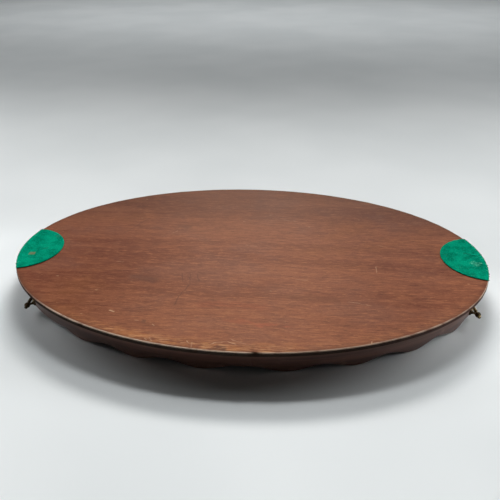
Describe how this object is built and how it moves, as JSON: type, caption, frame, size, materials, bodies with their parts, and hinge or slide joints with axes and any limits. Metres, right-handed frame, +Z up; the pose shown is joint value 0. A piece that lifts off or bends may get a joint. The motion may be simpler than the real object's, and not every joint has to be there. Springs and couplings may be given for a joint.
{
  "type": "oval gallery tray",
  "caption": "Oval wooden tray lying upside down on its scalloped gallery rim, with felt pads on its underside and a drop bail handle at each end, folded into the well.",
  "frame": {"origin": "on the surface the upturned tray lies on, at the level of the rim's crests, under the middle of the oval board", "axes": "+X along the tray's length to the right-hand handle, +Y across it to the rear, +Z up, out of the board's underside; in use the tray is turned over, so its well faces -Z as stored"},
  "size_m": [0.61, 0.402, 0.0327],
  "materials": {
    "board_mahogany": "old waxed mahogany, worn and scratched, grain along the length",
    "gallery_mahogany": "dark polished mahogany, bent along its length",
    "bead_mahogany": "dark polished mahogany moulding",
    "green_felt_right": "green baize, rubbed and creased",
    "green_felt_left": "green baize, worn through to a brown patch",
    "aged_brass_bail": "aged brass, brown in the hollows",
    "aged_brass_post": "aged brass, brown in the hollows",
    "aged_brass_rosette": "aged brass, brown in the hollows",
    "aged_brass_cap": "aged brass, brown in the hollows",
    "brass_washer": "dull brass",
    "brass_nut": "dull brass"
  },
  "bodies": {
    "tray": {"base_board": "board_mahogany", "gallery_right": "gallery_mahogany", "inner_bead_right": "bead_mahogany", "felt_pad_right": "green_felt_right", "handle_post_right_front": "aged_brass_post", "rosette_right_front": "aged_brass_rosette", "handle_post_right_rear": "aged_brass_post", "rosette_right_rear": "aged_brass_rosette", "gallery_left": "gallery_mahogany", "inner_bead_left": "bead_mahogany", "felt_pad_left": "green_felt_left", "handle_post_left_front": "aged_brass_post", "rosette_left_front": "aged_brass_rosette", "handle_post_left_rear": "aged_brass_post", "rosette_left_rear": "aged_brass_rosette", "handle_washers": "brass_washer", "handle_nuts": "brass_nut"},
    "bail_right_body": {"bail_right": "aged_brass_bail", "bail_cap_right_front": "aged_brass_cap", "bail_cap_right_rear": "aged_brass_cap"},
    "bail_left_body": {"bail_left": "aged_brass_bail", "bail_cap_left_front": "aged_brass_cap", "bail_cap_left_rear": "aged_brass_cap"}
  },
  "joints": [
    {"name": "bail_right_swing", "type": "hinge", "parent": "tray", "child": "bail_right_body", "pos_m": [0.26843, 0.00935, 0.01], "axis": [0.0791, -0.9969, 0], "range_deg": [0, 170]},
    {"name": "bail_left_swing", "type": "hinge", "parent": "tray", "child": "bail_left_body", "pos_m": [-0.26843, -0.00935, 0.01], "axis": [-0.0791, 0.9969, 0], "range_deg": [0, 170]}
  ]
}
